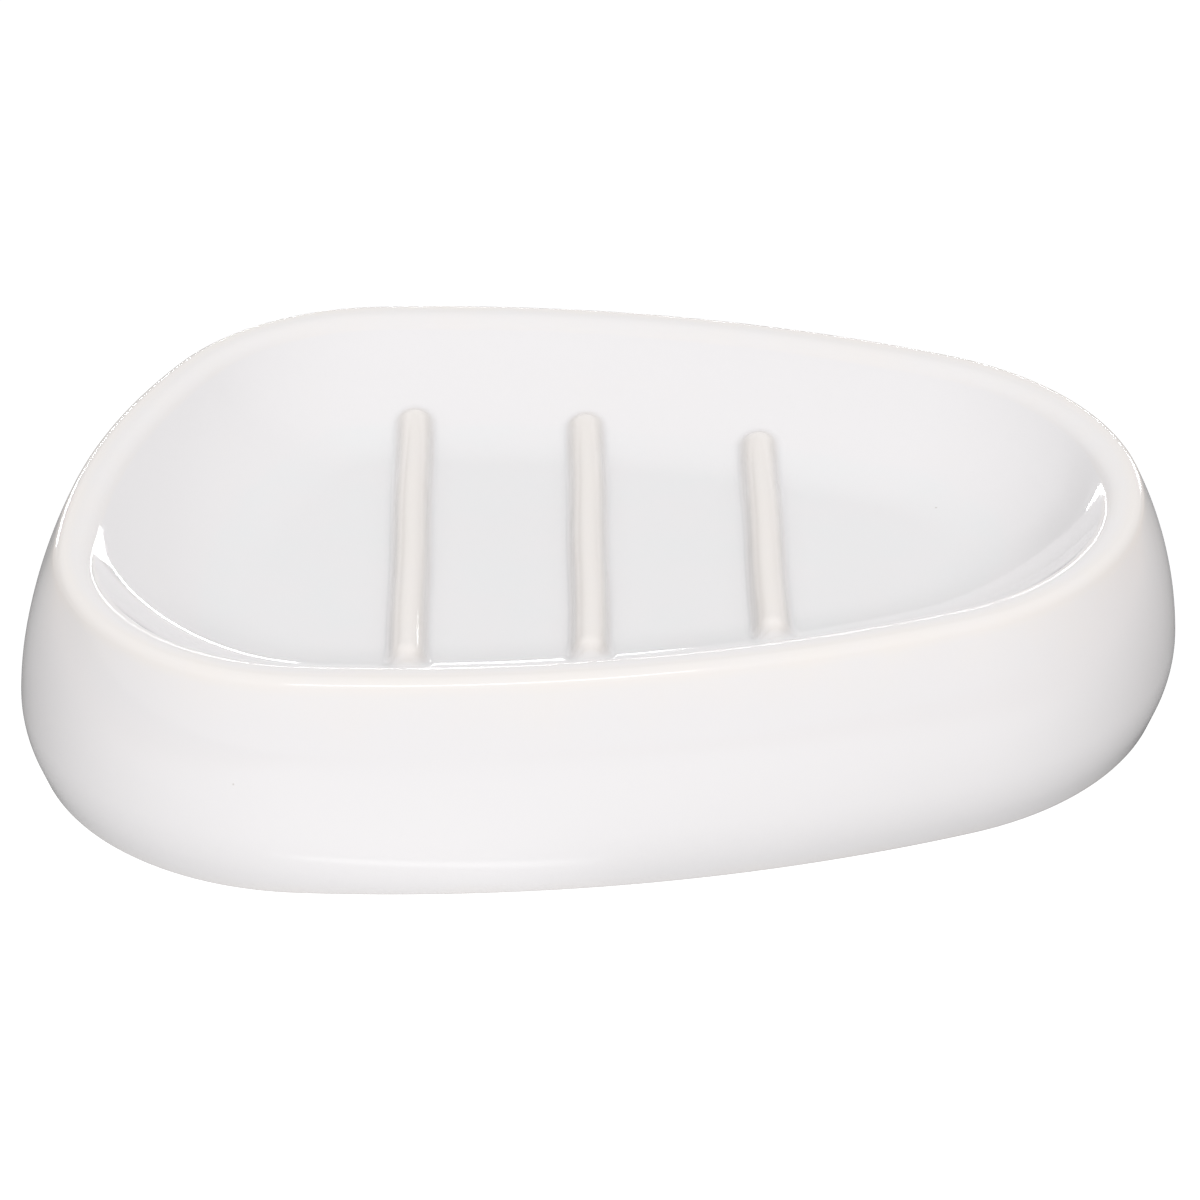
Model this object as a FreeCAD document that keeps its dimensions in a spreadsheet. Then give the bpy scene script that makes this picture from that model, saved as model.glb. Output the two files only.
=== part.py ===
import FreeCAD, Part
import math
import os
import Sketcher

# Soap dish in white glazed ceramic, on three soft pads. Millimetres and degrees.
# +Z is up, and z = 0 is the surface that the pads stand on. +X points at the round tip of the pebble
# outline, and the long front side faces -Y. Heights on the dish itself are measured up from its foot.

SIZES = [
    # Widest outline in plan: three round corners, joined by three long bowed sides
    ("tip_x", 28.4),
    ("tip_radius", 39.1),
    ("back_left_x", -26.6),
    ("back_left_y", 15.8),
    ("back_left_radius", 33.1),
    ("front_left_x", -32.3),
    ("front_left_y", -13.5),
    ("front_left_radius", 35.3),
    ("back_side_radius", 164),
    ("left_side_radius", 92),
    ("front_side_radius", 180),
    # Wall and rim
    ("rim_height", 26.5),
    ("widest_height", 6),
    ("wall_radius", 45),
    ("foot_inset", 2),
    ("foot_bevel_height", 5.4),
    ("rim_outer_radius", 1.6),
    ("rim_flat", 1),
    ("rim_inner_radius", 3.2),
    # Bowl and floor plate, inset from the widest outline
    ("bowl_depth", 9.4),
    ("floor_inset", 28),
    ("floor_thickness", 5.5),
    ("plate_overlap", 2),
    # Hollow underside
    ("recess_inset", 12),
    ("recess_draft", 8),
    ("recess_corner_bevel", 3.5),
    ("recess_edge_bevel", 0.8),
    # Soap ribs
    ("rib_middle_x", -1.8),
    ("rib_pitch", 20.8),
    ("rib_end_inset", 22),
    ("rib_shift", 1.5),
    ("rib_radius", 1.9),
    ("rib_height", 2.9),
    ("rib_blend_radius", 1.2),
    # Pads and their adhesive film, on the foot ring under the three corners
    ("pad_diameter", 6.4),
    ("pad_height", 1.5),
    ("pad_edge_bevel", 0.4),
    ("pad_inset", 7.4),
    ("tip_pad_angle", 0),
    ("back_left_pad_angle", 121.5),
    ("front_left_pad_angle", 223),
    ("adhesive_thickness", 0.15),
    ("adhesive_margin", 0.2),
]

doc = FreeCAD.newDocument("SoapDish")
sheet = doc.addObject("Spreadsheet::Sheet", "Sizes")
for row, (alias, value) in enumerate(SIZES, 1):
    sheet.set(f"A{row}", alias)
    sheet.set(f"B{row}", str(value))
    sheet.setAlias(f"B{row}", alias)
doc.recompute()


def size(alias):
    return float(sheet.get(alias))


def vector(x, y, z=0):
    return FreeCAD.Vector(x, y, z)


UP = vector(0, 0, 1)
FULL_TURN = 2 * math.pi
QUARTER_TURN = math.pi / 2


# Sketch helpers: places on an element, and the sketch's own X axis, as the sketcher numbers them

START, END, CENTRE = 1, 2, 3
X_AXIS = -1


def new_body(name):
    body = doc.addObject("PartDesign::Body", name)
    body.Label = name
    return body


def new_sketch(body, name, role):
    """Empty sketch on one of the body's own origin planes."""
    sketch = body.newObject("Sketcher::SketchObject", name)
    plane = next(feature for feature in body.Origin.OriginFeatures if feature.Role == role)
    sketch.AttachmentSupport = [(plane, "")]
    sketch.MapMode = "FlatFace"
    return sketch


def add_arc(sketch, centre, radius, start, end, construction=False):
    """Anticlockwise arc from one angle to another."""
    circle = Part.Circle(centre, UP, radius)
    arc = Part.ArcOfCircle(circle, start, start + (end - start) % FULL_TURN)
    return sketch.addGeometry(arc, construction)


def add_line(sketch, start, end, construction=False):
    return sketch.addGeometry(Part.LineSegment(start, end), construction)


def tie(sketch, kind, *places):
    return sketch.addConstraint(Sketcher.Constraint(kind, *places))


def dimension(sketch, kind, places, value, expression):
    """Dimension that follows the sheet. The value only starts the solver near its answer."""
    index = tie(sketch, kind, *places, value)
    sketch.setExpression(f"Constraints[{index}]", expression)


# Outline in plan: corner arcs and side arcs by turns, each tangent to the next

CORNERS = ["tip", "back_left", "front_left"]
SIDES = ["back_side", "left_side", "front_side"]
BACK_ARC, FRONT_ARC = 1, 5


def corner_centre(corner):
    y = 0 if corner == "tip" else size(corner + "_y")
    return vector(size(corner + "_x"), y)


def side_centre(index):
    """Centre of the side arc that wraps this corner and the next one."""
    first, second = CORNERS[index], CORNERS[(index + 1) % len(CORNERS)]
    along = corner_centre(second) - corner_centre(first)
    span = along.Length
    along.normalize()
    radius = size(SIDES[index] + "_radius")
    to_first = radius - size(first + "_radius")
    to_second = radius - size(second + "_radius")
    step = (to_first**2 - to_second**2 + span**2) / (2 * span)
    rise = math.sqrt(to_first**2 - step**2)
    return corner_centre(first) + along * step + vector(-along.y, along.x) * rise


def angle(start, end):
    return math.atan2(end.y - start.y, end.x - start.x)


def outline_arcs():
    """Name, centre, start and end angle of the arcs, anticlockwise from the point of the tip."""
    enter = [angle(side_centre(index - 1), corner_centre(name)) for index, name in enumerate(CORNERS)]
    leave = [angle(side_centre(index), corner_centre(name)) for index, name in enumerate(CORNERS)]
    arcs = []
    for index, corner in enumerate(CORNERS):
        start = 0 if corner == "tip" else enter[index]
        arcs.append((corner, corner_centre(corner), start, leave[index]))
        arcs.append((SIDES[index], side_centre(index), leave[index], enter[(index + 1) % len(CORNERS)]))
    arcs.append(("tip", corner_centre("tip"), enter[0], 0))
    return arcs


def draw_outline(sketch, inset=None, construction=False):
    """The whole outline, or a parallel one inside it. The tip's arc is cut in two at its point."""
    arcs = outline_arcs()
    inset_value = size(inset) if inset else 0
    inset_term = f" - Sizes.{inset}" if inset else ""
    for name, centre, start, end in arcs:
        add_arc(sketch, centre, size(name + "_radius") - inset_value, start, end, construction)
    last = len(arcs) - 1
    for index in range(last):
        tie(sketch, "Tangent", index, END, index + 1, START)
    tie(sketch, "Coincident", last, END, 0, START)
    tie(sketch, "Coincident", last, CENTRE, 0, CENTRE)
    tie(sketch, "PointOnObject", 0, START, X_AXIS)
    tie(sketch, "PointOnObject", 0, CENTRE, X_AXIS)
    for index, (name, centre, start, end) in enumerate(arcs[:last]):
        radius = size(name + "_radius") - inset_value
        dimension(sketch, "Radius", (index,), radius, f"Sizes.{name}_radius{inset_term}")
        if name in CORNERS:
            dimension(sketch, "DistanceX", (index, CENTRE), centre.x, f"Sizes.{name}_x")
        if name in CORNERS and name != "tip":
            dimension(sketch, "DistanceY", (index, CENTRE), centre.y, f"Sizes.{name}_y")


# Dish: the section of its wall is swept round the outline, and a plate closes the middle

dish = new_body("dish")
dish.setExpression("Placement.Base.z", "Sizes.pad_height + Sizes.adhesive_thickness")
outline = new_sketch(dish, "outline", "XY_Plane")
draw_outline(outline)

FOOT, FOOT_BEVEL, WALL, RIM_OUTER, RIM_FLAT, RIM_INNER, BOWL, FLOOR, CORE = range(9)


def draw_section(sketch):
    """Section at the point of the tip: foot, bevel, leaning wall, rim, bowl and the edge of the floor."""
    widest = size("tip_x") + size("tip_radius")
    top = size("rim_height")
    floor = top - size("bowl_depth")
    wall_radius = size("wall_radius")
    wall_centre = vector(widest - wall_radius, size("widest_height"))

    def wall_reach(radius, height):
        """How far from the wall's centre line a circle inside the wall touches it, at this height."""
        return math.sqrt((wall_radius - radius)**2 - (height - wall_centre.y)**2)

    foot = vector(widest - size("foot_inset"), 0)
    bevel_top = size("foot_bevel_height")
    wall_foot = vector(wall_centre.x + wall_reach(0, bevel_top), bevel_top)
    outer_radius, inner_radius = size("rim_outer_radius"), size("rim_inner_radius")
    rim_outer = vector(wall_centre.x + wall_reach(outer_radius, top - outer_radius), top - outer_radius)
    rim_inner = vector(rim_outer.x - size("rim_flat"), top - inner_radius)
    floor_edge = vector(widest - size("floor_inset"), floor)
    run, drop = rim_inner.x - floor_edge.x, rim_inner.y - floor
    bowl_radius = (run**2 + drop**2 - inner_radius**2) / (2 * size("bowl_depth"))
    bowl = floor_edge + vector(0, bowl_radius)
    core_top = floor_edge - vector(size("plate_overlap"), 0)
    core_foot = vector(core_top.x, 0)

    add_line(sketch, core_foot, foot)
    add_line(sketch, foot, wall_foot)
    add_arc(sketch, wall_centre, wall_radius, angle(wall_centre, wall_foot), angle(wall_centre, rim_outer))
    add_arc(sketch, rim_outer, outer_radius, angle(wall_centre, rim_outer), QUARTER_TURN)
    add_line(sketch, vector(rim_outer.x, top), vector(rim_inner.x, top))
    add_arc(sketch, rim_inner, inner_radius, QUARTER_TURN, angle(rim_inner, bowl))
    add_arc(sketch, bowl, bowl_radius, -QUARTER_TURN, angle(bowl, rim_inner))
    add_line(sketch, floor_edge, core_top)
    add_line(sketch, core_top, core_foot)

    # The wall runs smoothly over the rim to the floor
    tie(sketch, "Coincident", FOOT, END, FOOT_BEVEL, START)
    tie(sketch, "Coincident", FOOT_BEVEL, END, WALL, START)
    tie(sketch, "Tangent", WALL, END, RIM_OUTER, START)
    tie(sketch, "Tangent", RIM_OUTER, END, RIM_FLAT, START)
    tie(sketch, "Tangent", RIM_FLAT, END, RIM_INNER, START)
    tie(sketch, "Tangent", RIM_INNER, END, BOWL, END)
    tie(sketch, "Tangent", BOWL, START, FLOOR, START)
    tie(sketch, "Coincident", FLOOR, END, CORE, START)
    tie(sketch, "Coincident", CORE, END, FOOT, START)
    tie(sketch, "PointOnObject", FOOT, START, X_AXIS)
    for line in (FOOT, RIM_FLAT, FLOOR):
        tie(sketch, "Horizontal", line)
    tie(sketch, "Vertical", CORE)

    tip = "Sizes.tip_x + Sizes.tip_radius"
    dimension(sketch, "DistanceX", (FOOT, END), foot.x, tip + " - Sizes.foot_inset")
    dimension(sketch, "DistanceY", (WALL, START), bevel_top, "Sizes.foot_bevel_height")
    rounds = {WALL: "wall_radius", RIM_OUTER: "rim_outer_radius", RIM_INNER: "rim_inner_radius"}
    for element, alias in rounds.items():
        dimension(sketch, "Radius", (element,), size(alias), f"Sizes.{alias}")
    dimension(sketch, "DistanceX", (WALL, CENTRE), wall_centre.x, tip + " - Sizes.wall_radius")
    dimension(sketch, "DistanceY", (WALL, CENTRE), wall_centre.y, "Sizes.widest_height")
    dimension(sketch, "DistanceY", (RIM_FLAT, START), top, "Sizes.rim_height")
    dimension(sketch, "DistanceX", (RIM_FLAT, END, RIM_FLAT, START), size("rim_flat"), "Sizes.rim_flat")
    dimension(sketch, "DistanceY", (FLOOR, START), floor, "Sizes.rim_height - Sizes.bowl_depth")
    dimension(sketch, "DistanceX", (FLOOR, START), floor_edge.x, tip + " - Sizes.floor_inset")
    overlap = size("plate_overlap")
    dimension(sketch, "DistanceX", (FLOOR, END, FLOOR, START), overlap, "Sizes.plate_overlap")


section = new_sketch(dish, "section", "XZ_Plane")
draw_section(section)
doc.recompute()
wall = dish.newObject("PartDesign::AdditivePipe", "wall")
wall.Profile = section
wall.Spine = outline

plate_outline = new_sketch(dish, "plate_outline", "XY_Plane")
draw_outline(plate_outline, "floor_inset")
plate = dish.newObject("PartDesign::Pad", "plate")
plate.Profile = plate_outline
plate.setExpression("Length", "Sizes.rim_height - Sizes.bowl_depth")
doc.recompute()


# Hollow underside: it leaves the foot ring standing and keeps the ceramic thin enough to fire evenly

recess_outline = new_sketch(dish, "recess_outline", "XY_Plane")
draw_outline(recess_outline, "recess_inset")
recess = dish.newObject("PartDesign::Pocket", "recess")
recess.Profile = recess_outline
recess.Reversed = True
recess.setExpression("Length", "Sizes.rim_height - Sizes.bowl_depth - Sizes.floor_thickness")
recess.setExpression("TaperAngle", "-Sizes.recess_draft")
doc.recompute()
if recess.Shape.Volume >= plate.Shape.Volume:
    raise RuntimeError("the recess cuts nothing")


LEVEL_SHARE = 1e-4


def surface_name(face):
    return type(face.Surface).__name__


def recess_rim(shape, height):
    """Names of the flat edges at this height that bound the drafted side of the recess."""
    names = []
    for number, edge in enumerate(shape.Edges, 1):
        box = edge.BoundBox
        level = max(abs(box.ZMin - height), abs(box.ZMax - height)) < edge.Length * LEVEL_SHARE
        sides = [surface_name(face) for face in shape.ancestorsOfType(edge, Part.Face)]
        if level and "Cone" in sides:
            names.append(f"Edge{number}")
    return names


def dress(body, kind, measure, name, edges):
    """Fillet or chamfer along these edges. The sheet gives its measure under the feature's own name."""
    base = body.Tip
    feature = body.newObject(f"PartDesign::{kind}", name)
    feature.Base = (base, edges)
    feature.setExpression(measure, f"Sizes.{name}")
    doc.recompute()


roof_height = size("rim_height") - size("bowl_depth") - size("floor_thickness")
dress(dish, "Chamfer", "Size", "recess_corner_bevel", recess_rim(dish.Tip.Shape, roof_height))
dress(dish, "Chamfer", "Size", "recess_edge_bevel", recess_rim(dish.Tip.Shape, 0))


# Soap ribs: rods with round ends, sunk in the floor from front to back and blended into the bowl.

RIBS = {"left": -1, "middle": 0, "right": 1}

rib_layout = new_sketch(dish, "rib_layout", "XY_Plane")
draw_outline(rib_layout, "rib_end_inset", construction=True)


def rib_x(step):
    return f"Sizes.rib_middle_x + {step} * Sizes.rib_pitch"


def draw_rib_line(sketch, name, step):
    """Centre line of one rib. Its ends lie on a line parallel to the outline, and are measured by name."""
    x = size("rib_middle_x") + step * size("rib_pitch")
    arcs = outline_arcs()
    ends = {}
    for end, index, sign in (("front", FRONT_ARC, -1), ("back", BACK_ARC, 1)):
        side, centre, *_ = arcs[index]
        reach = size(side + "_radius") - size("rib_end_inset")
        ends[end] = vector(x, centre.y + sign * math.sqrt(reach**2 - (x - centre.x)**2))
    line = add_line(sketch, ends["front"], ends["back"])
    tie(sketch, "Vertical", line)
    tie(sketch, "PointOnObject", line, START, FRONT_ARC)
    tie(sketch, "PointOnObject", line, END, BACK_ARC)
    dimension(sketch, "DistanceX", (line, START), x, rib_x(step))
    for place, end in ((START, "front"), (END, "back")):
        measure = tie(sketch, "DistanceY", line, place, ends[end].y)
        sketch.setDriving(measure, False)
        sketch.renameConstraint(measure, f"{name}_{end}")


for name, step in RIBS.items():
    draw_rib_line(rib_layout, name, step)
doc.recompute()


def draw_rib_half(sketch, name):
    """Half of a rib's length section, which turns about its own straight edge."""
    radius = size("rib_radius")
    height = size("rim_height") - size("bowl_depth") + size("rib_height") - radius
    ends = [rib_layout.getDatum(f"{name}_{end}").Value + size("rib_shift") for end in ("front", "back")]
    front, back = (vector(end, height) for end in ends)
    lift, out = vector(0, radius), vector(radius, 0)
    top = add_line(sketch, front + lift, back + lift)
    back_end = add_arc(sketch, back, radius, 0, QUARTER_TURN)
    base = add_line(sketch, back + out, front - out)
    front_end = add_arc(sketch, front, radius, QUARTER_TURN, 2 * QUARTER_TURN)
    axis = add_line(sketch, front, back, construction=True)
    tie(sketch, "Tangent", top, END, back_end, END)
    tie(sketch, "Tangent", front_end, START, top, START)
    tie(sketch, "Coincident", back_end, START, base, START)
    tie(sketch, "Coincident", base, END, front_end, END)
    tie(sketch, "Coincident", axis, START, front_end, CENTRE)
    tie(sketch, "Coincident", axis, END, back_end, CENTRE)
    tie(sketch, "Horizontal", top)
    tie(sketch, "Horizontal", base)
    tie(sketch, "PointOnObject", front_end, CENTRE, base)
    tie(sketch, "PointOnObject", back_end, CENTRE, base)
    dimension(sketch, "Radius", (back_end,), radius, "Sizes.rib_radius")
    rise = "Sizes.rim_height - Sizes.bowl_depth + Sizes.rib_height - Sizes.rib_radius"
    dimension(sketch, "DistanceY", (back_end, CENTRE), height, rise)
    for end, place in (("front", front_end), ("back", back_end)):
        reach = f"rib_layout.Constraints.{name}_{end} + Sizes.rib_shift * 1 mm"
        dimension(sketch, "DistanceX", (place, CENTRE), {"front": front, "back": back}[end].x, reach)


for name, step in RIBS.items():
    half = new_sketch(dish, f"rib_{name}_half", "YZ_Plane")
    half.setExpression("AttachmentOffset.Base.z", rib_x(step))
    draw_rib_half(half, name)
    doc.recompute()
    rib = dish.newObject("PartDesign::Revolution", f"rib_{name}")
    rib.Profile = half
    rib.ReferenceAxis = (half, ["Axis0"])
    doc.recompute()


def is_rib(face):
    if surface_name(face) not in ("Cylinder", "Sphere"):
        return False
    return math.isclose(face.Surface.Radius, size("rib_radius"))


def rib_foot(shape):
    """Names of the edges where a rib meets the floor or the bowl."""
    names = []
    for number, edge in enumerate(shape.Edges, 1):
        sides = [is_rib(face) for face in shape.ancestorsOfType(edge, Part.Face)]
        if any(sides) and not all(sides):
            names.append(f"Edge{number}")
    return names


dress(dish, "Fillet", "Radius", "rib_blend_radius", rib_foot(dish.Tip.Shape))


# Pads: soft round bumpers, each held to the foot ring by a disc of adhesive film

def corner_place(body, corner, height):
    """Puts a body on the foot ring at the middle of a corner."""
    reach = f"(Sizes.{corner}_radius - Sizes.pad_inset)"
    turn = f"Sizes.{corner}_pad_angle * 1 deg"
    corner_y = "" if corner == "tip" else f"Sizes.{corner}_y + "
    body.setExpression("Placement.Base.x", f"Sizes.{corner}_x + {reach} * cos({turn})")
    body.setExpression("Placement.Base.y", f"{corner_y}{reach} * sin({turn})")
    body.setExpression("Placement.Base.z", height)


def disc(name, diameter_value, diameter, thickness):
    """Round disc that stands on its own XY plane."""
    body = new_body(name)
    circle = new_sketch(body, name + "_circle", "XY_Plane")
    circle.addGeometry(Part.Circle(vector(0, 0), UP, diameter_value / 2))
    tie(circle, "Coincident", 0, CENTRE, X_AXIS, START)
    dimension(circle, "Diameter", (0,), diameter_value, diameter)
    pad = body.newObject("PartDesign::Pad", name + "_disc")
    pad.Profile = circle
    pad.setExpression("Length", thickness)
    doc.recompute()
    return body


def lowest_edge(shape):
    heights = [edge.BoundBox.ZMax for edge in shape.Edges]
    return [f"Edge{heights.index(min(heights)) + 1}"]


bodies = [dish]
for corner in CORNERS:
    pad = disc(f"pad_{corner}", size("pad_diameter"), "Sizes.pad_diameter", "Sizes.pad_height")
    dress(pad, "Chamfer", "Size", "pad_edge_bevel", lowest_edge(pad.Tip.Shape))
    corner_place(pad, corner, "0")
    film_value = size("pad_diameter") - 2 * size("adhesive_margin")
    film_diameter = "Sizes.pad_diameter - 2 * Sizes.adhesive_margin"
    film = disc(f"adhesive_{corner}", film_value, film_diameter, "Sizes.adhesive_thickness")
    corner_place(film, corner, "Sizes.pad_height")
    bodies += [pad, film]
doc.recompute()


# Every object has to be sound before anything is written

for item in doc.Objects:
    if "Invalid" in item.State or "Error" in item.State:
        raise RuntimeError(f"{item.Name} failed: {item.getStatusString()}")
    if item.TypeId == "Sketcher::SketchObject" and not item.FullyConstrained:
        raise RuntimeError(f"{item.Name} is not fully constrained")
os.makedirs("parts", exist_ok=True)
for body in bodies:
    shape = body.Shape
    if shape.isNull() or not shape.isValid() or len(shape.Solids) != 1:
        raise RuntimeError(f"{body.Label} is not one valid solid")
for body in bodies:
    body.Shape.exportStep(f"parts/{body.Label}.step")
    box = body.Shape.optimalBoundingBox()
    print(f"{body.Label}: {body.Shape.Volume:.1f} mm3, {box}")
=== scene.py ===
import math

import bpy
import numpy as np
from mathutils import Matrix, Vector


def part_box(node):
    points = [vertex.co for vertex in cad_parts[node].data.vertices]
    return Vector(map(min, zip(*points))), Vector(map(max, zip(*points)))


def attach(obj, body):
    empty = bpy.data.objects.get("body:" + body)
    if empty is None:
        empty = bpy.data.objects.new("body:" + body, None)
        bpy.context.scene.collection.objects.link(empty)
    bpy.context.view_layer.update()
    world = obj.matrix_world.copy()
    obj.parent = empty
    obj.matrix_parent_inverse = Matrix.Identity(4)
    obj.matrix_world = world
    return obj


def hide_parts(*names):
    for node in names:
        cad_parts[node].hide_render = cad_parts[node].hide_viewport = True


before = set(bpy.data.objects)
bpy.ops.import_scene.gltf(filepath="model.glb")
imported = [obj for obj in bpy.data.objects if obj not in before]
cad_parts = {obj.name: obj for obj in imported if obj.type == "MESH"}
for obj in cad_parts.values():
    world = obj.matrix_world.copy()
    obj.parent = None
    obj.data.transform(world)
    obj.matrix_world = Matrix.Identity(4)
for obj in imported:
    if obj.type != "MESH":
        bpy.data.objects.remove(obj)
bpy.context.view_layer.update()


# Dish: one slip-cast ceramic piece under a glossy white glaze, with the bowl and the three soap ribs cast
# in. The glaze runs thin and warm over the rim and the ribs and gathers cool in the hollows. The foot ring
# is wiped bare before firing, so the dish doesn't stick to the kiln shelf.

MM = 0.001
FOOT_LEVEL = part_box("dish")[0].z / MM

# Widest outline in plan: three round corners (x, y, radius) and the radius of the bowed side after each
TIP = (28.4, 0.0, 39.1)
BACK_LEFT = (-26.6, 15.8, 33.1)
FRONT_LEFT = (-32.3, -13.5, 35.3)
CORNERS = [TIP, BACK_LEFT, FRONT_LEFT]
SIDE_RADII = [164.0, 92.0, 180.0]

# Heights above the foot, and insets from the widest outline
RIM_HEIGHT = 26.5
RIM_OUTER_RADIUS = 1.6
RIM_FLAT = 1.0
RIM_INNER_RADIUS = 3.2
WIDEST_HEIGHT = 6.0
WALL_RADIUS = 45.0
FOOT_INSET = 2.0
FOOT_BEVEL_HEIGHT = 5.4
FOOT_EDGE_RADIUS = 0.9
FOOT_ROUND_RADIUS = 14.0
FLOOR_HEIGHT = 17.1
FLOOR_INSET = 28.0
ROOF_HEIGHT = 11.6
RECESS_INSET = 12.0
RECESS_DRAFT = math.radians(8)
RECESS_CORNER_RADIUS = 5.0
RECESS_EDGE_RADIUS = 1.0

# Ribs run from front to back between two points at the same inset
RIB_XS = [-22.6, -1.8, 19.0]
RIB_END_INSET = 22.0
RIB_SHIFT = 1.5
RIB_RADIUS = 1.9
RIB_HEIGHT = 2.9
RIB_BLEND = 1.2
RIB_SLANT = 0.012
RIB_SWAY = 0.06
RIB_SWAY_LENGTH = 4.2

# The bowl's mesh is a grid inside this inset, between these ends at the left and the right
SEAM_INSET = 13.0
GRID_FRONT_LEFT = -47.0
GRID_BACK_LEFT = -41.0
GRID_RIGHT = 43.0
GRID_ROWS = 100
BOW_SHARE = 0.2

# Where the glaze pools on the floor and thins over a rib, where shade is painted on a rib's lower flanks,
# and by how much
POOL_INSET = 18.5
POOL_FADE = 2.5
THIN_REACH = 2.3
THIN_FADE = 0.8
RIB_SHADE_REACH = 1.75
RIB_SHADE_FADE = 0.75
FLOOR_GATHER = 0.45
SLOPE_GATHER = -0.15


def bearing(start, end):
    return math.atan2(end[1] - start[1], end[0] - start[0])


def side_centre(first, second, radius):
    """Centre of the side arc that wraps two corners."""
    span = math.hypot(second[0] - first[0], second[1] - first[1])
    along = ((second[0] - first[0]) / span, (second[1] - first[1]) / span)
    to_first, to_second = radius - first[2], radius - second[2]
    step = (to_first**2 - to_second**2 + span**2) / (2 * span)
    rise = math.sqrt(to_first**2 - step**2)
    return first[0] + along[0] * step - along[1] * rise, first[1] + along[1] * step + along[0] * rise


def outline_arcs():
    """Centre x and y, radius, start angle and turn of the six arcs, anticlockwise from the tip."""
    count = len(CORNERS)
    centres = [side_centre(CORNERS[i], CORNERS[(i + 1) % count], SIDE_RADII[i]) for i in range(count)]
    arcs = []
    for i, corner in enumerate(CORNERS):
        enter, leave = bearing(centres[i - 1], corner), bearing(centres[i], corner)
        following = bearing(centres[i], CORNERS[(i + 1) % count])
        arcs.append((*corner, enter, (leave - enter) % math.tau))
        arcs.append((*centres[i], SIDE_RADII[i], leave, (following - leave) % math.tau))
    return np.array(arcs)


ARCS = outline_arcs()
SEAM_LENGTHS = (ARCS[:, 2] - SEAM_INSET) * ARCS[:, 4]
SEAM_ENDS = np.cumsum(SEAM_LENGTHS)
SEAM_LENGTH = SEAM_ENDS[-1]


def outline_points(stations, inset):
    """Plan points at an inset from the widest outline. Stations are lengths along the bowl's seam line."""
    stations = np.asarray(stations) % SEAM_LENGTH
    index = np.searchsorted(SEAM_ENDS, stations, side="right")
    x, y, radius, start, turn = ARCS[index].T
    angle = start + turn * (stations - SEAM_ENDS[index] + SEAM_LENGTHS[index]) / SEAM_LENGTHS[index]
    return np.stack([x + (radius - inset) * np.cos(angle), y + (radius - inset) * np.sin(angle)], axis=-1)


def station_at(x, inset, side):
    """Station of the point at this x on the front (-1) or back (1) of the line at this inset."""
    for index, (centre_x, _, radius, start, turn) in enumerate(ARCS):
        share = (x - centre_x) / (radius - inset)
        if abs(share) < 1:
            past = (side * math.acos(share) - start) % math.tau
            if past < turn:
                return SEAM_ENDS[index] - SEAM_LENGTHS[index] * (1 - past / turn)
    raise ValueError(f"no point at x {x}")


def inset_of(points):
    """How far plan points lie inside the widest outline."""
    inset = np.full(len(points), np.inf)
    for x, y, radius, start, turn in ARCS:
        across, along = points[:, 0] - x, points[:, 1] - y
        facing = (np.arctan2(along, across) - start) % math.tau < turn
        inset = np.where(facing, np.minimum(inset, radius - np.hypot(across, along)), inset)
    return inset


def round_points(inset, height, radius, start, end, count):
    """Section points along an arc, with angles measured up from straight outwards."""
    angles = np.radians(np.linspace(start, end, count))
    return np.stack([inset - radius * np.cos(angles), height + radius * np.sin(angles)], axis=-1)


RIM_OUTER_HEIGHT = RIM_HEIGHT - RIM_OUTER_RADIUS
RIM_INNER_HEIGHT = RIM_HEIGHT - RIM_INNER_RADIUS
RIM_REACH = math.sqrt((WALL_RADIUS - RIM_OUTER_RADIUS)**2 - (RIM_OUTER_HEIGHT - WIDEST_HEIGHT)**2)
RIM_OUTER_INSET = WALL_RADIUS - RIM_REACH
RIM_INNER_INSET = RIM_OUTER_INSET + RIM_FLAT
BOWL_RUN = FLOOR_INSET - RIM_INNER_INSET
BOWL_DROP = RIM_INNER_HEIGHT - FLOOR_HEIGHT
BOWL_RADIUS = (BOWL_RUN**2 + BOWL_DROP**2 - RIM_INNER_RADIUS**2) / (2 * (RIM_HEIGHT - FLOOR_HEIGHT))


def corner_points(before, corner, after, radius, count):
    """Section points that round off a corner between two straight runs."""
    into = np.subtract(corner, before) / math.dist(corner, before)
    out = np.subtract(after, corner) / math.dist(after, corner)
    turn = math.acos(np.dot(into, out))
    reach = radius * math.tan(turn / 2)
    steps = np.linspace(0, turn, count)[:, None]
    side = (out - into * math.cos(turn)) / math.sin(turn)
    return corner - into * reach + radius * (into * np.sin(steps) + side * (1 - np.cos(steps)))


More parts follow.
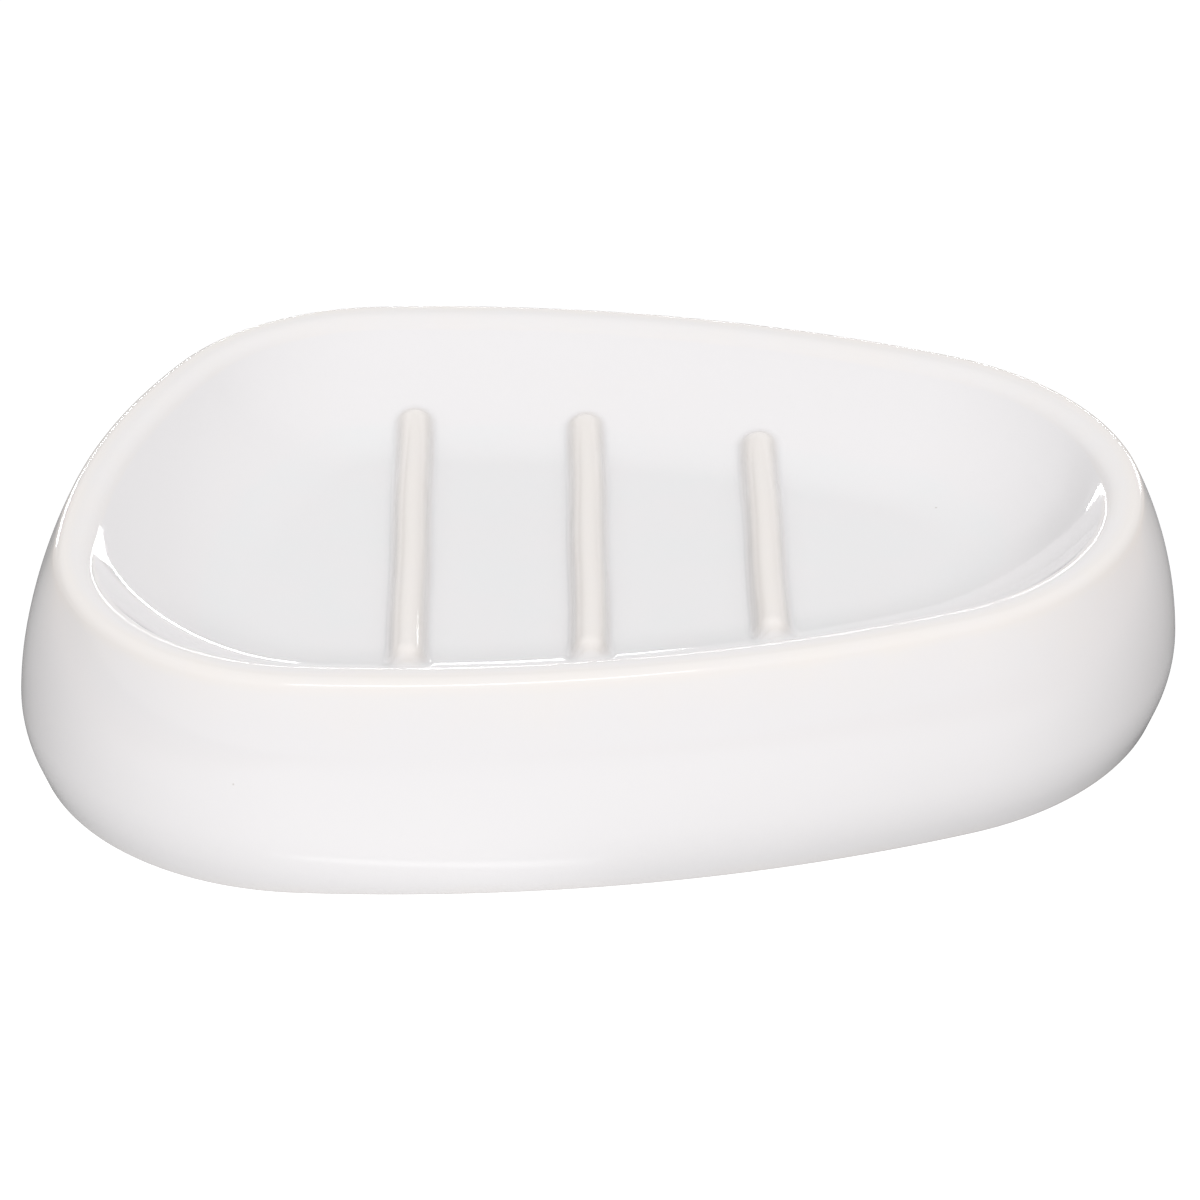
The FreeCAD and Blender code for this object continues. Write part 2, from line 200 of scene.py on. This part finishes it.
def wall_section():
    """Section from the roof of the hollow underside, round the foot, wall and rim, down to the bowl's seam.
    Each row is inset, height, how far the glaze gathers (-1 thin, 1 thick), and how bare the clay is."""
    draft = math.degrees(RECESS_DRAFT)
    slope = math.tan(RECESS_DRAFT)
    corner_height = ROOF_HEIGHT - RECESS_CORNER_RADIUS
    corner_inset = RECESS_INSET + corner_height * slope + RECESS_CORNER_RADIUS / math.cos(RECESS_DRAFT)
    edge_inset = RECESS_INSET + RECESS_EDGE_RADIUS * (slope - 1 / math.cos(RECESS_DRAFT))
    tilt = math.atan2(FOOT_INSET, FOOT_BEVEL_HEIGHT)
    bevel = np.array([-math.sin(tilt), math.cos(tilt)])
    foot_inner, foot = np.array([edge_inset, 0.0]), np.array([FOOT_INSET, 0.0])

    # A wide round runs from the bevel into the wall, inside the wall's own arc
    off_bevel = foot + FOOT_ROUND_RADIUS * np.array([math.cos(tilt), math.sin(tilt)])
    from_wall = off_bevel - (WALL_RADIUS, WIDEST_HEIGHT)
    along = from_wall @ bevel
    step = math.sqrt(along**2 - from_wall @ from_wall + (WALL_RADIUS - FOOT_ROUND_RADIUS)**2) - along
    round_inset, round_height = off_bevel + step * bevel
    wall_start = math.degrees(math.atan2(round_height - WIDEST_HEIGHT, WALL_RADIUS - round_inset))
    wall_end = math.degrees(math.atan2(RIM_OUTER_HEIGHT - WIDEST_HEIGHT, RIM_REACH))
    wall = round_points(WALL_RADIUS, WIDEST_HEIGHT, WALL_RADIUS, wall_start, wall_end, 20)
    lip = math.degrees(math.atan2(BOWL_RADIUS - BOWL_DROP, BOWL_RUN))
    seam = math.degrees(math.acos((FLOOR_INSET - SEAM_INSET) / BOWL_RADIUS))
    rows = []

    def add(points, gather, bare):
        for inset, height in points:
            if not rows or math.hypot(inset - rows[-1][0], height - rows[-1][1]) > 1e-6:
                rows.append((inset, height, gather, bare))

    add(round_points(corner_inset, corner_height, RECESS_CORNER_RADIUS, 90, draft, 9), 0.4, 0)
    add(round_points(edge_inset, RECESS_EDGE_RADIUS, RECESS_EDGE_RADIUS, 180 + draft, 270, 6), -0.3, 0.5)
    add(np.linspace(foot_inner, foot, 6)[1:-1], 0, 1)
    add(corner_points(foot_inner, foot, foot + bevel, FOOT_EDGE_RADIUS, 8), -0.5, 0)
    foot_start = -math.degrees(tilt)
    add(round_points(round_inset, round_height, FOOT_ROUND_RADIUS, foot_start, wall_start, 14), 0, 0)
    for point, share in zip(wall[1:-1], np.linspace(0, 1, len(wall) - 2)):
        add([point], -max(share - 0.5, 0), 0)
    add(round_points(RIM_OUTER_INSET, RIM_OUTER_HEIGHT, RIM_OUTER_RADIUS, wall_end, 90, 12), -0.85, 0)
    add(round_points(RIM_INNER_INSET, RIM_INNER_HEIGHT, RIM_INNER_RADIUS, 90, 180 - lip, 12), -0.5, 0)
    add(round_points(FLOOR_INSET, FLOOR_HEIGHT + BOWL_RADIUS, BOWL_RADIUS, -lip, -seam, 10), 0, 0)
    return np.array(rows)


def bowl_heights(points):
    """Height of the bowl with its ribs blended in, how far its glaze gathers, and where shade is painted on
    the ribs' lower flanks.
    """
    inset = inset_of(points)
    into_bowl = np.maximum(FLOOR_INSET - inset, 0)
    base = FLOOR_HEIGHT + BOWL_RADIUS - np.sqrt(BOWL_RADIUS**2 - into_bowl**2)
    axis_height = FLOOR_HEIGHT + RIB_HEIGHT - RIB_RADIUS
    off_axis = np.full(len(points), np.inf)
    for x in RIB_XS:
        stations = [station_at(x, RIB_END_INSET, side) for side in (-1, 1)]
        front, back = outline_points(stations, RIB_END_INSET)[:, 1] + RIB_SHIFT
        past_end = points[:, 1] - np.clip(points[:, 1], front, back)
        axis_x = x - RIB_SLANT * points[:, 1] + RIB_SWAY * np.sin(points[:, 1] / RIB_SWAY_LENGTH + x)
        off_axis = np.minimum(off_axis, np.hypot(points[:, 0] - axis_x, past_end))
    low, high = base.copy(), base + RIB_HEIGHT + RIB_BLEND
    for _ in range(40):
        middle = (low + high) / 2
        to_bowl = BOWL_RADIUS - np.hypot(into_bowl, FLOOR_HEIGHT + BOWL_RADIUS - middle)
        to_rib = np.hypot(off_axis, middle - axis_height) - RIB_RADIUS
        corner = np.hypot(np.maximum(RIB_BLEND - to_bowl, 0), np.maximum(RIB_BLEND - to_rib, 0))
        outside = np.maximum(RIB_BLEND, np.minimum(to_bowl, to_rib)) - corner > 0
        high = np.where(outside, middle, high)
        low = np.where(outside, low, middle)
    on_rib = np.clip((THIN_REACH - off_axis) / THIN_FADE, 0, 1)
    on_floor = np.clip((inset - POOL_INSET) / POOL_FADE, 0, 1)
    # Painted shade on each rib's lower flanks, in the crease where it curves into the floor
    edge = np.clip(1 - np.abs(off_axis - RIB_SHADE_REACH) / RIB_SHADE_FADE, 0, 1)
    gather = FLOOR_GATHER * on_floor * (1 - on_rib) + SLOPE_GATHER * (1 - on_floor) - on_rib
    return high, gather, edge


def spaced(knots, counts):
    """Values from knot to knot, in the given number of even steps."""
    runs = [np.linspace(a, b, n, endpoint=False) for a, b, n in zip(knots, knots[1:], counts)]
    return np.append(np.concatenate(runs), knots[-1])


def build_dish():
    # Columns of the bowl's grid run from front to back, closer together at the ribs
    reach = RIB_RADIUS + 1.5 * RIB_BLEND
    knots = [edge for x in RIB_XS for edge in (x - reach, x + reach)]
    counts = [22, 26, 14, 26, 14, 26, 22]
    front_xs = spaced([GRID_FRONT_LEFT, *knots, GRID_RIGHT], counts)
    back_xs = spaced([GRID_BACK_LEFT, *knots, GRID_RIGHT], counts)
    front = np.array([station_at(x, SEAM_INSET, -1) for x in front_xs])
    back = np.array([station_at(x, SEAM_INSET, 1) for x in back_xs])
    columns, rows = len(front), GRID_ROWS
    left = np.linspace(front[0], back[0], rows)
    right = np.linspace(front[-1], front[-1] + (back[-1] - front[-1]) % SEAM_LENGTH, rows)
    stations = np.concatenate([right[:-1], back[:0:-1], left[:0:-1], front[:-1]])

    section = wall_section()
    count, depth = len(stations), len(section)
    rings = np.empty((depth, count, 3))
    for ring, (inset, height, *_) in zip(rings, section):
        ring[:, :2] = outline_points(stations, inset)
        ring[:, 2] = height
    marks = np.repeat(np.column_stack([section[:, 2:], np.zeros(depth)]), count, axis=0)

    # The grid inside the seam: straight columns, whose ends bow out to the seam at the left and the right
    u = np.linspace(0, 1, columns)[:, None, None]
    v = np.linspace(0, 1, rows)[None, :, None]
    front_edge, back_edge = outline_points(front, SEAM_INSET), outline_points(back, SEAM_INSET)
    grid = (1 - v) * front_edge[:, None] + v * back_edge[:, None]
    left_bow = outline_points(left, SEAM_INSET)[None] - grid[:1]
    right_bow = outline_points(right, SEAM_INSET)[None] - grid[-1:]
    at_left, at_right = np.clip(1 - u / BOW_SHARE, 0, 1), np.clip(1 - (1 - u) / BOW_SHARE, 0, 1)
    grid = grid + at_left**2 * left_bow + at_right**2 * right_bow
    inner = grid[1:-1, 1:-1].reshape(-1, 2)
    heights, gather, edge = bowl_heights(inner)
    vertices = np.concatenate([rings.reshape(-1, 3), np.column_stack([inner, heights])])
    marks = np.concatenate([marks, np.column_stack([gather, np.zeros(len(gather)), edge])])

    # Vertex numbers: rings first, then the grid, whose border is the last ring
    ring_ids = np.arange(depth * count).reshape(depth, count)
    seam = ring_ids[-1]
    ids = np.empty((columns, rows), int)
    ids[1:-1, 1:-1] = depth * count + np.arange(len(inner)).reshape(columns - 2, rows - 2)
    ids[-1, :] = seam[:rows]
    ids[::-1, -1] = seam[rows - 1:rows - 1 + columns]
    ids[0, ::-1] = seam[rows + columns - 2:2 * rows + columns - 2]
    ids[:, 0] = np.roll(seam, -(2 * rows + columns - 3))[:columns]

    def quads(a, b, c, d):
        return np.stack([a, b, c, d], axis=-1).reshape(-1, 4).tolist()

    following = np.roll(ring_ids, -1, axis=1)
    faces = quads(ring_ids[:-1], following[:-1], following[1:], ring_ids[1:])
    faces += quads(ids[:-1, :-1], ids[1:, :-1], ids[1:, 1:], ids[:-1, 1:])
    faces.append(ring_ids[0][::-1].tolist())

    mesh = bpy.data.meshes.new("glazed_dish")
    vertices[:, 2] += FOOT_LEVEL
    mesh.from_pydata((vertices * MM).tolist(), [], faces)
    mesh.shade_smooth()
    for name, values in zip(("gather", "bare", "edge"), marks.T):
        mesh.attributes.new(name, "FLOAT", "POINT").data.foreach_set("value", values.astype(np.float32))
    piece = bpy.data.objects.new("glazed_dish", mesh)
    bpy.context.scene.collection.objects.link(piece)
    return piece


class Value:
    """A shader socket that can stand in a sum: the sum adds the Math nodes that work it out."""

    def __init__(self, tree, socket):
        self.tree = tree
        self.socket = socket

    def node(self, kind, settings, sockets, output=0):
        """One output of a new node. Its settings are set first, then the values or links of its sockets."""
        made = self.tree.nodes.new(kind)
        for name, setting in settings.items():
            setattr(made, name, setting)
        for name, value in sockets.items():
            if isinstance(value, Value):
                self.tree.links.new(value.socket, made.inputs[name])
            else:
                made.inputs[name].default_value = value
        return Value(self.tree, made.outputs[output])

    def maths(self, operation, *terms):
        settings = {"operation": operation}
        return self.node("ShaderNodeMath", settings, dict(enumerate(terms)))

    def __add__(self, other):
        return self.maths("ADD", self, other)

    def __sub__(self, other):
        return self.maths("SUBTRACT", self, other)

    def __rsub__(self, other):
        return self.maths("SUBTRACT", other, self)

    def __mul__(self, other):
        return self.maths("MULTIPLY", self, other)

    def __gt__(self, other):
        return self.maths("GREATER_THAN", self, other)

    __radd__ = __add__
    __rmul__ = __mul__

    def rise(self, low, high):
        """0 below low, 1 above high, and a smooth rise between."""
        sockets = {"Value": self, "From Min": low, "From Max": high}
        return self.node("ShaderNodeMapRange", {"interpolation_type": "SMOOTHSTEP"}, sockets)

    def colour(self, low, high):
        """From one colour at 0 to another at 1."""
        return self.node("ShaderNodeMix", {"data_type": "RGBA"}, {0: self, 6: low, 7: high}, 2)

    def parts(self):
        """The three coordinates of a vector."""
        return [self.node("ShaderNodeSeparateXYZ", {}, {0: self}, axis) for axis in "XYZ"]

    def noise(self, scale, detail=2.0):
        return self.node("ShaderNodeTexNoise", {}, {"Vector": self, "Scale": scale, "Detail": detail})

    def bump(self, strength, distance, under=None):
        sockets = {"Height": self, "Strength": strength, "Distance": distance}
        if under:
            sockets["Normal"] = under
        return self.node("ShaderNodeBump", {}, sockets)


def new_finish(name):
    """Empty material: its shader's inputs, and the object's own coordinates in metres."""
    material = bpy.data.materials.new(name)
    material.use_nodes = True
    tree = material.node_tree
    shader = tree.nodes["Principled BSDF"].inputs
    place = Value(tree, tree.nodes.new("ShaderNodeTexCoord").outputs["Object"])
    return material, shader, place


def feed(shader, **sources):
    """Links what changes over the surface to the shader's sockets."""
    for name, source in sources.items():
        source.tree.links.new(source.socket, shader[name.replace("_", " ")])


GLAZE_WHITE = (0.865, 0.849, 0.857, 1)
GLAZE_THIN = (0.895, 0.853, 0.82, 1)
# The warm tint of thin glaze on a rib's lower flanks, darkened there with painted shade
RIB_BASE_TINT_AND_SHADE = (0.74, 0.705, 0.675, 1)
GLAZE_POOL = (0.83, 0.853, 0.86, 1)
BARE_CLAY = (0.72, 0.64, 0.55, 1)
SPECK = (0.42, 0.36, 0.31, 1)


def glaze_finish():
    material, shader, place = new_finish("white_glaze")
    gather = place.node("ShaderNodeAttribute", {"attribute_name": "gather"}, {}, "Fac")
    bare = place.node("ShaderNodeAttribute", {"attribute_name": "bare"}, {}, "Fac")
    edge = place.node("ShaderNodeAttribute", {"attribute_name": "edge"}, {}, "Fac")
    drift = place.noise(140.0) - 0.5
    thin = (gather * -1.0 + drift * 0.6).rise(0.1, 1.2)
    pooled = (gather + drift * 0.6).rise(0.1, 1.2)
    tint = pooled.colour(thin.colour(GLAZE_WHITE, GLAZE_THIN), GLAZE_POOL)
    # Painted shade on the ribs' lower flanks, where they curve into the floor, warmed with the tint of thin
    # glaze
    tint = (edge * (0.7 + drift * 0.9)).colour(tint, RIB_BASE_TINT_AND_SHADE)

    # A few pinholes and specks of iron that fire out dark
    cells = {"Vector": place, "Scale": 150.0}
    dots = place.node("ShaderNodeTexVoronoi", {}, cells)
    lot = place.node("ShaderNodeTexVoronoi", {}, cells, "Color")
    chosen = place.node("ShaderNodeSeparateColor", {}, {0: lot}) > 0.8
    speck = (1 - dots.rise(0.012, 0.03)) * chosen
    clay = (bare + drift * 0.35).rise(0.45, 0.6)
    colour = clay.colour((speck * 0.5).colour(tint, SPECK), BARE_CLAY)

    waves = place.noise(55.0, 1.0).bump(0.12, 0.0006)
    grain = (place.noise(2600.0) * clay).bump(0.25, 0.0002, waves)
    feed(shader, Base_Color=colour, Roughness=0.05 + thin * 0.08 + clay * 0.7, Normal=grain)
    shader["IOR"].default_value = 1.5
    return material


dish = build_dish()
dish.data.materials.append(glaze_finish())
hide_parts("dish")
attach(dish, "root")


# Pads: three soft round bumpers under the corners, that keep the hard foot ring off the vanity top.
# Each is moulded in milky elastomer, with a soft lower edge.

PAD_NODES = ["pad_tip", "pad_back_left", "pad_front_left"]
PAD_RADIUS = 3.18
PAD_EDGE_RADIUS = 0.7
PAD_SEGMENTS = 64
PAD_DARK = (0.62, 0.62, 0.6, 1)
PAD_LIGHT = (0.74, 0.74, 0.71, 1)


def build_pad(name, node):
    """Round bumper in the space of its CAD pad: rings from the flat lower face up to the adhesive."""
    low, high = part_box(node)
    edge = np.radians(np.linspace(-90, 0, 9))
    radii = [*(PAD_RADIUS - PAD_EDGE_RADIUS + PAD_EDGE_RADIUS * np.cos(edge)), PAD_RADIUS]
    heights = [*(PAD_EDGE_RADIUS + PAD_EDGE_RADIUS * np.sin(edge)), (high.z - low.z) / MM]
    turn = np.linspace(0, math.tau, PAD_SEGMENTS, endpoint=False)
    rings = np.empty((len(radii), PAD_SEGMENTS, 3))
    rings[:, :, 0] = (low.x + high.x) / 2 + MM * np.outer(radii, np.cos(turn))
    rings[:, :, 1] = (low.y + high.y) / 2 + MM * np.outer(radii, np.sin(turn))
    rings[:, :, 2] = low.z + MM * np.array(heights)[:, None]
    ids = np.arange(rings.size // 3).reshape(rings.shape[:2])
    following = np.roll(ids, -1, axis=1)
    faces = np.stack([ids[:-1], following[:-1], following[1:], ids[1:]], axis=-1).reshape(-1, 4).tolist()
    mesh = bpy.data.meshes.new(name)
    mesh.from_pydata(rings.reshape(-1, 3).tolist(), [], faces + [ids[0][::-1].tolist(), ids[-1].tolist()])
    mesh.shade_smooth()
    mesh.polygons[len(faces)].use_smooth = False
    mesh.polygons[len(faces) + 1].use_smooth = False
    piece = bpy.data.objects.new(name, mesh)
    bpy.context.scene.collection.objects.link(piece)
    return piece


def pad_finish():
    material, shader, place = new_finish("milky_elastomer")
    cloud = place.noise(900.0)
    feed(shader, Base_Color=cloud.colour(PAD_DARK, PAD_LIGHT))
    feed(shader, Roughness=0.4 + cloud * 0.2, Normal=place.noise(4200.0).bump(0.2, 0.0001))
    shader["IOR"].default_value = 1.5
    return material


elastomer = pad_finish()
for node in PAD_NODES:
    bumper = build_pad(node.replace("pad", "bumper"), node)
    bumper.data.materials.append(elastomer)
    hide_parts(node)
    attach(bumper, "root")


# Adhesive films: a thin disc of clear pressure-sensitive adhesive holds each pad to the bare foot ring.
# It is cut a little smaller than the pad, so that it stays hidden.

ADHESIVE_NODES = ["adhesive_tip", "adhesive_back_left", "adhesive_front_left"]
FILM_DARK = (0.70, 0.68, 0.60, 1)
FILM_LIGHT = (0.80, 0.78, 0.72, 1)


def adhesive_finish():
    material, shader, place = new_finish("adhesive_film")
    streaks = place.noise(1500.0)
    feed(shader, Base_Color=streaks.colour(FILM_DARK, FILM_LIGHT))
    feed(shader, Roughness=0.25 + streaks * 0.2)
    return material


film = adhesive_finish()
for name in ADHESIVE_NODES:
    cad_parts[name].data.materials.clear()
    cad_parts[name].data.materials.append(film)


# Stage: a white sweep under soft studio light. The camera sees it white, while the glaze mirrors one that
# is bright in front of the dish and shaded beside and behind it, as between dark cards. A softbox hangs in
# front, the sky is brightest above and in front, and two low strips and two cards of light stand behind.

FLOOR_SIZE = 8.0
FLOOR_LEVEL = -0.00002


def add_floor(name, glow):
    """Flat square floor with some light of its own: the object, its shader's inputs and its coordinates."""
    reach = FLOOR_SIZE / 2
    mesh = bpy.data.meshes.new(name)
    corners = [(-reach, -reach, 0), (reach, -reach, 0), (reach, reach, 0), (-reach, reach, 0)]
    mesh.from_pydata(corners, [], [(0, 1, 2, 3)])
    floor = bpy.data.objects.new(name, mesh)
    floor.location.z = FLOOR_LEVEL
    bpy.context.scene.collection.objects.link(floor)
    material, shader, place = new_finish(name)
    shader["Roughness"].default_value = 0.9
    shader["Specular IOR Level"].default_value = 0.0
    shader["Emission Color"].default_value = (1, 1, 1, 1)
    shader["Emission Strength"].default_value = glow
    mesh.materials.append(material)
    return floor, shader, place


def grey(tone):
    return tone, tone, tone, 1


seen_floor, seen_shader, seen_place = add_floor("white_sweep", 0.95)
feed(seen_shader, Base_Color=seen_place.noise(3.0).colour(grey(0.78), grey(0.8)))
seen_floor.visible_diffuse = False
seen_floor.visible_glossy = False
seen_floor.visible_shadow = False

# The mirrored floor's glow is painted light: bright in front, warm painted shade beside, a narrow gleam
# along the front of the foot.
# The foot comes nearest at one x, and its front side turns away to the right of that.
BRIGHTEST = 4.0
WARM_SHADE = (4.6, 3.5, 2.9, 1)
FRONT_X = -0.029
FRONT_TURN = 0.13
GLEAM_X = -0.02
GLEAM_NEAR = -0.0536
GLEAM_FAR = -0.0572
GLEAM_FADE = 0.0015
mirrored_floor, mirrored_shader, mirrored_place = add_floor("carded_sweep", 1.0)
across, along, _ = mirrored_place.parts()
middle = 1 - (across * across).rise(0.006, 0.03)
beside = (1 - middle) * across.rise(-0.5, 0.0) * 0.29
from_foot = along - (across - FRONT_X) * FRONT_TURN
gleam = from_foot.rise(GLEAM_FAR, GLEAM_FAR + GLEAM_FADE)
gleam = gleam * (1 - from_foot.rise(GLEAM_NEAR - GLEAM_FADE, GLEAM_NEAR))
off_gleam = across - GLEAM_X
gleam = gleam * (1 - (off_gleam * off_gleam).rise(0.00005, 0.0006))
in_front = along * -1.0
before = in_front.rise(0.0, 0.08) * middle * (0.77 - in_front.rise(0.06, 0.5) * 0.32)
lit = before + beside + gleam * 1.15
tone = middle.colour(WARM_SHADE, grey(BRIGHTEST))
feed(mirrored_shader, Emission_Color=(lit * (1 / BRIGHTEST)).colour(grey(0.0), tone))
feed(mirrored_shader, Base_Color=mirrored_place.noise(3.0).colour(grey(0.29), grey(0.31)))
mirrored_floor.visible_camera = False

world = bpy.data.worlds.new("studio")
world.use_nodes = True
sky_tree = world.node_tree
sky = sky_tree.nodes["Background"].inputs
heading = Value(sky_tree, sky_tree.nodes.new("ShaderNodeTexCoord").outputs["Generated"])
across, along, up = heading.parts()
in_front = along * -1.0
above = up.rise(0.3, 0.95)
from_front = in_front.rise(0.0, 0.9) * up.rise(0.1, 0.5)
low_front = in_front.rise(0.3, 0.9) * (1 - up.rise(0.05, 0.4))
low_back = along.rise(0.3, 0.8) * (1 - up.rise(0.05, 0.16))
back_left = (across * -1.0).rise(0.15, 0.45) * along.rise(0.3, 0.7)
back_left = back_left * up.rise(0.1, 0.2) * (1 - up.rise(0.3, 0.5))
bright = above * 0.42 + from_front * 0.53 + low_front * 0.2
feed(sky, Strength=0.527 + bright - low_back * 0.38 - back_left * 0.42)
sky["Color"].default_value = (1, 1, 1, 1)
bpy.context.scene.world = world


def add_light(name, azimuths, elevations, distance, radiance, roll=0.0):
    """Soft rectangular light that covers these degrees of azimuth, right of straight back, and elevation.
    A roll in degrees lifts its left end."""
    azimuth, elevation = math.radians(sum(azimuths) / 2), math.radians(sum(elevations) / 2)
    width = distance * math.cos(elevation) * 2 * math.tan(math.radians(azimuths[1] - azimuths[0]) / 2)
    height = distance * 2 * math.tan(math.radians(elevations[1] - elevations[0]) / 2)
    light = bpy.data.lights.new(name, "AREA")
    light.shape = "RECTANGLE"
    light.size, light.size_y = width, height
    light.energy = radiance * math.pi * width * height
    lamp = bpy.data.objects.new(name, light)
    lamp.location = (
        distance * math.cos(elevation) * math.sin(azimuth),
        distance * math.cos(elevation) * math.cos(azimuth),
        RIM_HEIGHT * MM + distance * math.sin(elevation),
    )
    facing = Matrix.Rotation(math.pi - azimuth, 4, "Z") @ Matrix.Rotation(math.pi / 2 - elevation, 4, "X")
    lamp.rotation_euler = (facing @ Matrix.Rotation(math.radians(roll), 4, "Z")).to_euler()
    lamp.visible_camera = False
    bpy.context.scene.collection.objects.link(lamp)


BACK_DISTANCE = 1.3
FRONT_DISTANCE = 1.1
STRIP_RADIANCE = 24.0
CARD_RADIANCE = 22.0
SOFTBOX_RADIANCE = 6.5
add_light("right_strip", (-3, 29.5), (6.6, 7.4), BACK_DISTANCE, STRIP_RADIANCE, 3.6)
add_light("right_card", (26, 34), (0.5, 6.0), BACK_DISTANCE, CARD_RADIANCE)
add_light("left_strip", (-29.5, -2), (4.4, 5.2), BACK_DISTANCE, STRIP_RADIANCE)
add_light("left_card", (-34, -26), (-0.5, 5.2), BACK_DISTANCE, CARD_RADIANCE)
add_light("front_softbox", (152, 198), (49, 56), FRONT_DISTANCE, SOFTBOX_RADIANCE)

VIEW_ELEVATION = math.radians(31)
VIEW_DISTANCE = 0.659
VIEW_TARGET = (-0.00043, -0.0025, 0.01355)
VIEW_LENS = 168.235
camera_data = bpy.data.cameras.new("photo_camera")
camera_data.lens = VIEW_LENS
camera_data.sensor_width = 36
camera_data.clip_start = 0.01
camera = bpy.data.objects.new("photo_camera", camera_data)
camera.location = (
    VIEW_TARGET[0],
    VIEW_TARGET[1] - VIEW_DISTANCE * math.cos(VIEW_ELEVATION),
    VIEW_TARGET[2] + VIEW_DISTANCE * math.sin(VIEW_ELEVATION),
)
camera.rotation_euler = (math.pi / 2 - VIEW_ELEVATION, 0, 0)
bpy.context.scene.collection.objects.link(camera)
bpy.context.scene.camera = camera
bpy.context.scene.view_settings.view_transform = "Standard"
